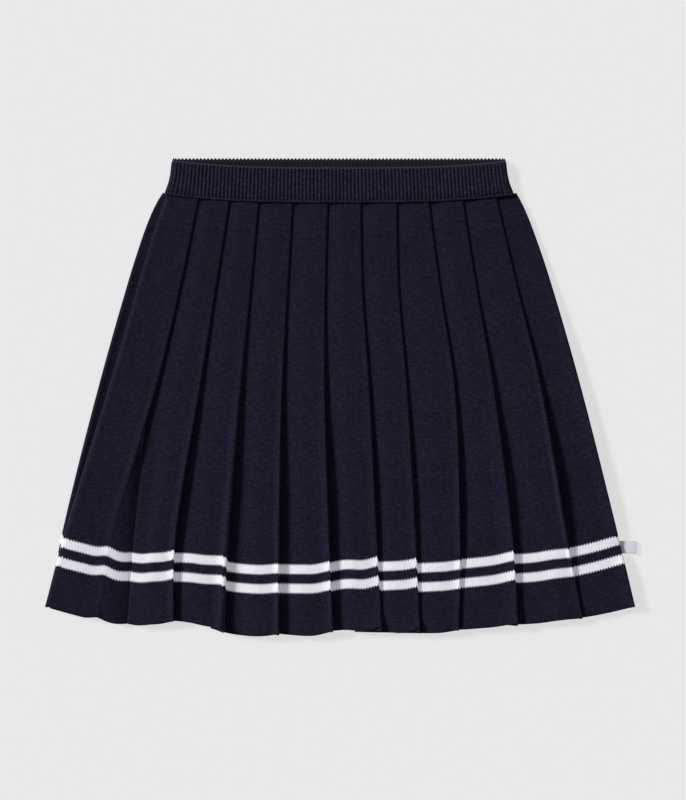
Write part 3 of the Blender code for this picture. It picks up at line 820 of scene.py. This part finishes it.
def band_loop(height_share, inset, depth, ribs, scallop):
    """One ring round the band, (x, y, z) in mm, with rib crests standing proud."""
    count = ribs * RIB_STEPS
    corner = BAND_CORNER * clamp((height_share - CORNER_FROM) / (1 - CORNER_FROM)) ** 2
    left = BAND_LEFT - LEFT_LEAN * (1 - height_share) + corner
    right = BAND_RIGHT + RIGHT_LEAN * (1 - height_share) - corner
    radius = BAND_DEPTH / 2
    flat = right - left - 2 * radius
    arc = math.pi * radius
    along = (np.arange(count) / count) * 2 * (flat + arc)
    wave = 0.5 + 0.5 * np.cos(2 * math.pi * ribs * np.arange(count) / count)
    reach = radius + depth * (np.maximum(wave, 0.0) ** RIB_BEND - 1) - inset
    turned = np.clip(along, 0, arc) + np.clip(along - arc - flat, 0, arc)
    angle = math.pi + turned / radius
    x = left + radius + np.clip(along - arc, 0, flat) - np.clip(along - 2 * arc - flat, 0, flat)
    x = x + (reach + END_KEEPS * min(inset, END_MOST)) * np.sin(angle)
    spring = (1 - height_share) ** SPRING_BEND
    x = x - LEFT_SPRING * spring * np.exp(-np.maximum(x - left, 0) / SPRING_WIDTH)
    x = x + RIGHT_SPRING * spring * np.exp(-np.maximum(right - x, 0) / SPRING_WIDTH)
    z = np.maximum(radius + reach * np.cos(angle), 0.0)
    front = front_share(z)
    seam = mix(BACK_SEAM_Y, np.array([front_seam_y(px) for px in x]), front)
    y = seam + GAP / 2 + BAND_HEIGHT * height_share + scallop * wave * (1 - front)
    return np.stack([x, y, z], -1), along


def waistband(material):
    """Loft the band through its rings, into the slit and round to the first again."""
    around = 2 * (BAND_RIGHT - BAND_LEFT - BAND_DEPTH + math.pi * BAND_DEPTH / 2)
    ribs = round(around / RIB_PITCH)
    rings, uv = [], []
    for i, (share, inset, strength) in enumerate(BAND_PROFILE):
        scallop = SCALLOP * clamp((share - SCALLOP_FROM) / (1 - SCALLOP_FROM))
        ring, along = band_loop(share, inset, RIB_DEPTH * strength, ribs, scallop)
        rings.append(ring)
        up = share if i <= BAND_TOP_ROW else 2.0 - share
        uv.append(np.stack([along, np.full(len(along), up * BAND_HEIGHT)], -1))
    piece = lofted("waistband_rib", np.array(rings), np.array(uv), material, closed=True)
    return piece, around * MM


# ---- Side tab ---------------------------------------------------------------
def rim_edge_x(y):
    """Where the right rim is at this height up the skirt."""
    return line_x("right_rim", (BACK_SEAM_Y - y) / (BACK_SEAM_Y - LINES["right_rim"][-1]))


def side_tab(material):
    """A ribbon folded in half: lower layer out, round its fold, upper layer back."""
    r = (TAB_THICK - RIBBON) / 2
    middle_z, end = TAB_Z + TAB_THICK / 2, TAB_END - r - RIBBON / 2
    columns, uv = [], []
    for y in TAB_Y + TAB_WIDTH * np.linspace(-0.5, 0.5, TAB_COLUMNS):
        inner = rim_edge_x(y) + CLOTH / 2 - TAB_SUNK
        section = [(x, middle_z - r) for x in np.linspace(inner, end, TAB_POINTS)]
        section += [(end + r * math.sin(angle), middle_z - r * math.cos(angle))
                    for angle in turns(0.0, math.pi, TAB_TURN)[1:-1]]
        section += [(x, middle_z + r) for x in np.linspace(end, inner, TAB_POINTS)]
        columns.append([(x, y, z) for x, z in section])
        uv.append([(run, y - TAB_Y) for run in run_across(np.array(section))])
    piece = lofted("side_ribbon", np.array(columns), np.array(uv), material)
    thicken(piece, RIBBON, False)
    return piece


# ---- Finishes ---------------------------------------------------------------
def linear(hex_colour):
    """sRGB hex to linear RGBA."""
    channels = [int(hex_colour[i:i + 2], 16) / 255 for i in (1, 3, 5)]
    return [c / 12.92 if c <= 0.04045 else ((c + 0.055) / 1.055) ** 2.4
            for c in channels] + [1.0]


def add(tree, kind, settings=None, **links):
    """Add one node. A link is a plain value, a socket or a node, for its first output;
    i0, i1 and so on name an input by its place."""
    node = tree.nodes.new(kind)
    for name, value in (settings or {}).items():
        setattr(node, name, value)
    for name, value in links.items():
        key = int(name[1:]) if name[0] == "i" and name[1:].isdigit() else name.replace("_", " ")
        if isinstance(value, bpy.types.Node):
            value = value.outputs[0]
        if isinstance(value, bpy.types.NodeSocket):
            tree.links.new(value, node.inputs[key])
        else:
            node.inputs[key].default_value = value
    return node


def new_finish(name, **values):
    """A material whose shader starts from these values."""
    material = bpy.data.materials.new(name)
    material.use_nodes = True
    shader = material.node_tree.nodes["Principled BSDF"]
    for socket, value in values.items():
        shader.inputs[socket.replace("_", " ")].default_value = value
    return material, material.node_tree, shader


NAVY_JERSEY = "#121022", "#171123", "#25202E"      # darker yarn, paler yarn, fleck
NAVY_RIB = "#171528", "#1C172A", "#332D3B"
RIB_EDGE_HIGHLIGHT, RIB_INSIDE = "#332E3F", "#1E1B20"        # painted highlight on the band's top edge, and the band's back within
WHITE_YARN = "#C2C0C6", "#CCCAD0"
CLOUD = 14.3                   # the dye drifts over this length
SLUB = (4.167, 1.136)          # a thick place in the yarn, across and up
STITCH_SUMS = (
    # result, operation and terms: each a number, a pattern or an earlier result
    # Each wale is two legs that lean to its middle; the tooth is 0 there, 0.5 at its sides
    ("place", "FRACT", "column"),
    ("from_middle", "SUBTRACT", "place", 0.5),
    ("tooth", "ABSOLUTE", "from_middle"),
    ("lean", "MULTIPLY_ADD", "tooth", -1.6, "row"),
    ("turn", "MULTIPLY", "lean", 2 * math.pi),
    ("wave", "SINE", "turn"),
    ("leg", "MULTIPLY_ADD", "wave", 0.22, 0.78),
    # The furrow between wales is deeper than the one inside a V
    ("from_side", "SUBTRACT", 0.5, "tooth"),
    ("side_slope", "MULTIPLY", "from_side", 5.0),
    ("furrow", "MINIMUM", "side_slope", 1.0),
    ("spine_slope", "MULTIPLY_ADD", "tooth", 3.0, 0.55),
    ("spine", "MINIMUM", "spine_slope", 1.0),
    ("sides", "MULTIPLY", "leg", "furrow"),
    ("height", "MULTIPLY", "sides", "spine"),
    # The dye drifts, and pale fibres show where the yarn is thick
    ("tone", "MULTIPLY_ADD", "cloud", 2.4, -0.7),
    ("thick", "POWER", "slub", 5.0),
    ("pale", "MULTIPLY", "thick", 6.0),
    ("taken", "MULTIPLY_ADD", "dye", 0.9, 0.1),
    ("flecks", "MULTIPLY", "pale", "taken"),
    ("fleck", "MINIMUM", "flecks", 1.0),
    # Thick yarn and each stitch's own dye vary the navy, and painted shade darkens it in the
    # furrows
    ("spun", "MULTIPLY_ADD", "slub", 1.0, 0.26),
    ("uneven", "MULTIPLY_ADD", "dye", 0.46, "spun"),
    ("shade", "MULTIPLY_ADD", "height", 0.65, 0.61),
    ("depth", "MULTIPLY", "uneven", "shade"),
)
STRIPE_SUMS = (
    # Two stripes with toothed edges, which glow with painted light; white yarn looks shallower
    # than navy
    ("toothed", "MULTIPLY_ADD", "tooth", 2 * TOOTH, "up"),
    ("above", "SUBTRACT", "toothed", STRIPES_MIDDLE + TOOTH / 2),
    ("away", "ABSOLUTE", "above"),
    ("off_centre", "SUBTRACT", "away", STRIPES_APART / 2),
    ("aside", "ABSOLUTE", "off_centre"),
    ("stripe", "LESS_THAN", "aside", STRIPE_HALF),
    ("glow", "MULTIPLY", "stripe", PAINTED_STRIPE_LIGHT),
    ("relief", "MULTIPLY_ADD", "stripe", -0.3, 0.8),
)
BAND_SUMS = (
    # A painted highlight lightens the top edge, and past it the band is its own inside
    ("above", "SUBTRACT", "up", BAND_HEIGHT - 0.6),
    ("away", "ABSOLUTE", "above"),
    ("near", "MULTIPLY_ADD", "away", -1.4, 1.2),
    ("caught", "MAXIMUM", "near", 0.0),
    ("fold", "MINIMUM", "caught", 1.0),
    ("inside", "GREATER_THAN", "up", BAND_HEIGHT + 0.4),
)


def navy_knit(name, wale, colours, striped):
    """Combed cotton yarn, dyed navy and knitted on a fine gauge machine.

    The eye gets columns of small Vs with a dark furrow between them, its dark partly
    painted shade. The yarn is nearly black blue and matt, a little uneven, and its short
    fuzz pales the cloth where it turns away.
    """
    material, tree, shader = new_finish(
        name, Roughness=0.85, IOR=1.45, Specular_IOR_Level=0.12, Sheen_Weight=0.22,
        Sheen_Roughness=0.4, Sheen_Tint=linear("#C6BCE6"))
    cloth = add(tree, "ShaderNodeUVMap", {"uv_map": "cloth"})
    axes = add(tree, "ShaderNodeSeparateXYZ", Vector=cloth)
    stitches = add(tree, "ShaderNodeVectorMath", {"operation": "DIVIDE"}, i0=cloth,
                   i1=(wale, COURSE, 1.0))
    stitch = add(tree, "ShaderNodeVectorMath", {"operation": "FLOOR"}, i0=stitches)
    counts = add(tree, "ShaderNodeSeparateXYZ", Vector=stitches)
    yarn = add(tree, "ShaderNodeVectorMath", {"operation": "DIVIDE"}, i0=cloth,
               i1=(*SLUB, 1.0))
    flat = {"noise_dimensions": "2D"}
    known = {
        "up": axes.outputs["Y"],
        "column": counts.outputs["X"],
        "row": counts.outputs["Y"],
        "dye": add(tree, "ShaderNodeTexWhiteNoise", flat, Vector=stitch),
        "cloud": add(tree, "ShaderNodeTexNoise", flat, Vector=cloth, Scale=1 / CLOUD,
                     Detail=3.0),
        "slub": add(tree, "ShaderNodeTexNoise", flat, Vector=yarn, Scale=1.0, Detail=3.0,
                    Roughness=0.65),
    }
    for result, operation, *terms in STITCH_SUMS + (STRIPE_SUMS if striped else BAND_SUMS):
        links = {f"i{i}": known.get(term, term) for i, term in enumerate(terms)}
        known[result] = add(tree, "ShaderNodeMath", {"operation": operation}, **links)

    darker, paler, fleck = (linear(colour) for colour in colours)
    blend = {"data_type": "RGBA"}
    navy = add(tree, "ShaderNodeMix", blend, i0=known["tone"], i6=darker, i7=paler)
    # The navy is scaled by the yarn's unevenness and by painted shade in the furrows
    navy = add(tree, "ShaderNodeVectorMath", {"operation": "SCALE"}, i0=navy.outputs[2],
               Scale=known["depth"])
    colour = add(tree, "ShaderNodeMix", blend, i0=known["fleck"], i6=navy, i7=fleck)
    if striped:
        # The white stripes glow: painted light that keeps them white in a fold's shade.
        shader.inputs["Emission Color"].default_value = linear("#F0F1F6")
        tree.links.new(known["glow"].outputs[0], shader.inputs["Emission Strength"])
        white = add(tree, "ShaderNodeMix", blend, i0=known["dye"],
                    i6=linear(WHITE_YARN[0]), i7=linear(WHITE_YARN[1]))
        layers = [("stripe", white.outputs[2])]
    else:
        # a painted highlight along the band's top edge, then the band's inside
        layers = [("fold", linear(RIB_EDGE_HIGHLIGHT)), ("inside", linear(RIB_INSIDE))]
    for where, over in layers:
        colour = add(tree, "ShaderNodeMix", blend, i0=known[where], i6=colour.outputs[2],
                     i7=over)
    tree.links.new(colour.outputs[2], shader.inputs["Base Color"])
    bump = add(tree, "ShaderNodeBump", Strength=known.get("relief", 0.8),
               Distance=0.25 * MM, Height=known["height"])
    tree.links.new(bump.outputs["Normal"], shader.inputs["Normal"])
    return material


THREAD = 0.35                  # from one of the ribbon's threads to the next but one


def ribbon_white():
    """Polyester ribbon, woven close: the eye gets a smooth pale face with a fine grain."""
    material, tree, shader = new_finish("woven_polyester_ribbon", Roughness=0.5, IOR=1.5,
                                        Specular_IOR_Level=0.3)
    cloth = add(tree, "ShaderNodeUVMap", {"uv_map": "cloth"})
    turned = add(tree, "ShaderNodeVectorMath", {"operation": "SCALE"}, i0=cloth,
                 Scale=2 * math.pi / THREAD)
    waves = add(tree, "ShaderNodeVectorMath", {"operation": "SINE"}, i0=turned)
    threads = add(tree, "ShaderNodeSeparateXYZ", Vector=waves)
    weave = add(tree, "ShaderNodeMath", {"operation": "MULTIPLY"},
                i0=threads.outputs["X"], i1=threads.outputs["Y"])
    share = add(tree, "ShaderNodeMath", {"operation": "MULTIPLY_ADD"}, i0=weave, i1=0.5, i2=0.5)
    tint = add(tree, "ShaderNodeMix", {"data_type": "RGBA"}, i0=share,
               i6=linear("#D2D0DA"), i7=linear("#E0DEE8"))
    tree.links.new(tint.outputs[2], shader.inputs["Base Color"])
    bump = add(tree, "ShaderNodeBump", Strength=0.5, Distance=0.05 * MM, Height=weave)
    tree.links.new(bump.outputs["Normal"], shader.inputs["Normal"])
    return material


def light_table():
    """Opal acrylic, lit from below: pale, matt, and it takes hardly any shadow."""
    material, tree, shader = new_finish(
        "opal_light_table", Roughness=1.0, Specular_IOR_Level=0.0,
        Emission_Color=linear("#F5F3F4"), Emission_Strength=0.728)
    grain = add(tree, "ShaderNodeTexNoise", Scale=900.0, Detail=2.0)
    tint = add(tree, "ShaderNodeMix", {"data_type": "RGBA"}, i0=grain,
               i6=linear("#706F70"), i7=linear("#767576"))
    tree.links.new(tint.outputs[2], shader.inputs["Base Color"])
    return material


# ---- Studio -----------------------------------------------------------------
PHOTO_WIDTH, PHOTO_HEIGHT = 686, 800
MM_PER_PIXEL = 0.735
SKIRT_MIDDLE = (341.2, 397.0)          # the origin, in the photo's pixels
SKIRT_TOP = 6.0            # the photo's scale holds at this height above the table
LENS, SENSOR = 100.0, 36.0
TENT = "#FAFCFF", 0.29     # colour and strength of the soft light all round
KEY_POWER, KEY_SPREAD = 3.65, 12.0
KEY_RISE, KEY_TURN = 34.0, 22.0        # above the table, and from the left to the waist
TABLE_SIZE, TABLE_Z = 8.0, -0.0002     # in metres


def camera_overhead():
    across = (PHOTO_WIDTH / 2 - SKIRT_MIDDLE[0]) * MM_PER_PIXEL
    up = (SKIRT_MIDDLE[1] - PHOTO_HEIGHT / 2) * MM_PER_PIXEL
    distance = PHOTO_HEIGHT * MM_PER_PIXEL * LENS / SENSOR
    data = bpy.data.cameras.new("overhead")
    data.lens = LENS
    data.sensor_width = SENSOR
    data.clip_start, data.clip_end = 0.05, 50.0
    camera = bpy.data.objects.new("overhead", data)
    camera.location = (across * MM, up * MM, (distance + SKIRT_TOP) * MM)
    bpy.context.scene.collection.objects.link(camera)
    bpy.context.scene.camera = camera


def key_lamp():
    """One wide soft lamp, low on the left."""
    light = bpy.data.lights.new("key_lamp", "SUN")
    light.energy = KEY_POWER
    light.angle = math.radians(KEY_SPREAD)
    lamp = bpy.data.objects.new("key_lamp", light)
    rise, turn = math.radians(KEY_RISE), math.radians(KEY_TURN)
    towards = Vector((-math.cos(rise) * math.cos(turn), math.cos(rise) * math.sin(turn),
                      math.sin(rise)))
    lamp.rotation_euler = towards.to_track_quat("Z", "Y").to_euler()
    bpy.context.scene.collection.objects.link(lamp)


def studio():
    bpy.ops.mesh.primitive_plane_add(size=TABLE_SIZE, location=(0, 0, TABLE_Z))
    table = bpy.context.object
    table.name = "studio_table"
    table.data.materials.append(light_table())
    world = bpy.data.worlds.new("studio_tent")
    world.use_nodes = True
    tent = world.node_tree.nodes["Background"]
    tent.inputs["Color"].default_value = linear(TENT[0])
    tent.inputs["Strength"].default_value = TENT[1]
    bpy.context.scene.world = world
    key_lamp()
    settings = bpy.context.scene.view_settings
    settings.view_transform = "Standard"
    settings.look = "None"
    settings.exposure = 0.0
    settings.gamma = 1.0


def main():
    for old in [o for o in bpy.data.objects if o.type in ("LIGHT", "CAMERA")]:
        bpy.data.objects.remove(old)
    camera_overhead()
    front, back = front_pleats(), back_pleats()
    knit = navy_knit("navy_cotton_stocking_stitch", WALE, NAVY_JERSEY, True)
    rib = navy_knit("navy_cotton_rib", RIB_PITCH / 2, NAVY_RIB, False)
    tab = side_tab(ribbon_white())
    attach(tab, "root")
    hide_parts("side_tab")
    skirt_front, top, hem = knitted_panel("front_pleats", lambda v: front_section(front, v),
                                          FRONT_ROWS, knit, front, STRIPE_STRAYS[1:])
    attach(skirt_front, "root")
    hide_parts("skirt_front")
    back_strays = [(0.0, 0.0, 0.0)] * BACK_FOLDS + [STRIPE_STRAYS[0]]
    skirt_back, top, hem = knitted_panel("back_pleats", lambda v: back_section(front, back, v),
                                         BACK_ROWS, knit, front, back_strays)
    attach(skirt_back, "root")
    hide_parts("skirt_back")
    band, around = waistband(rib)
    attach(band, "root")
    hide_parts("waistband")
    studio()


main()
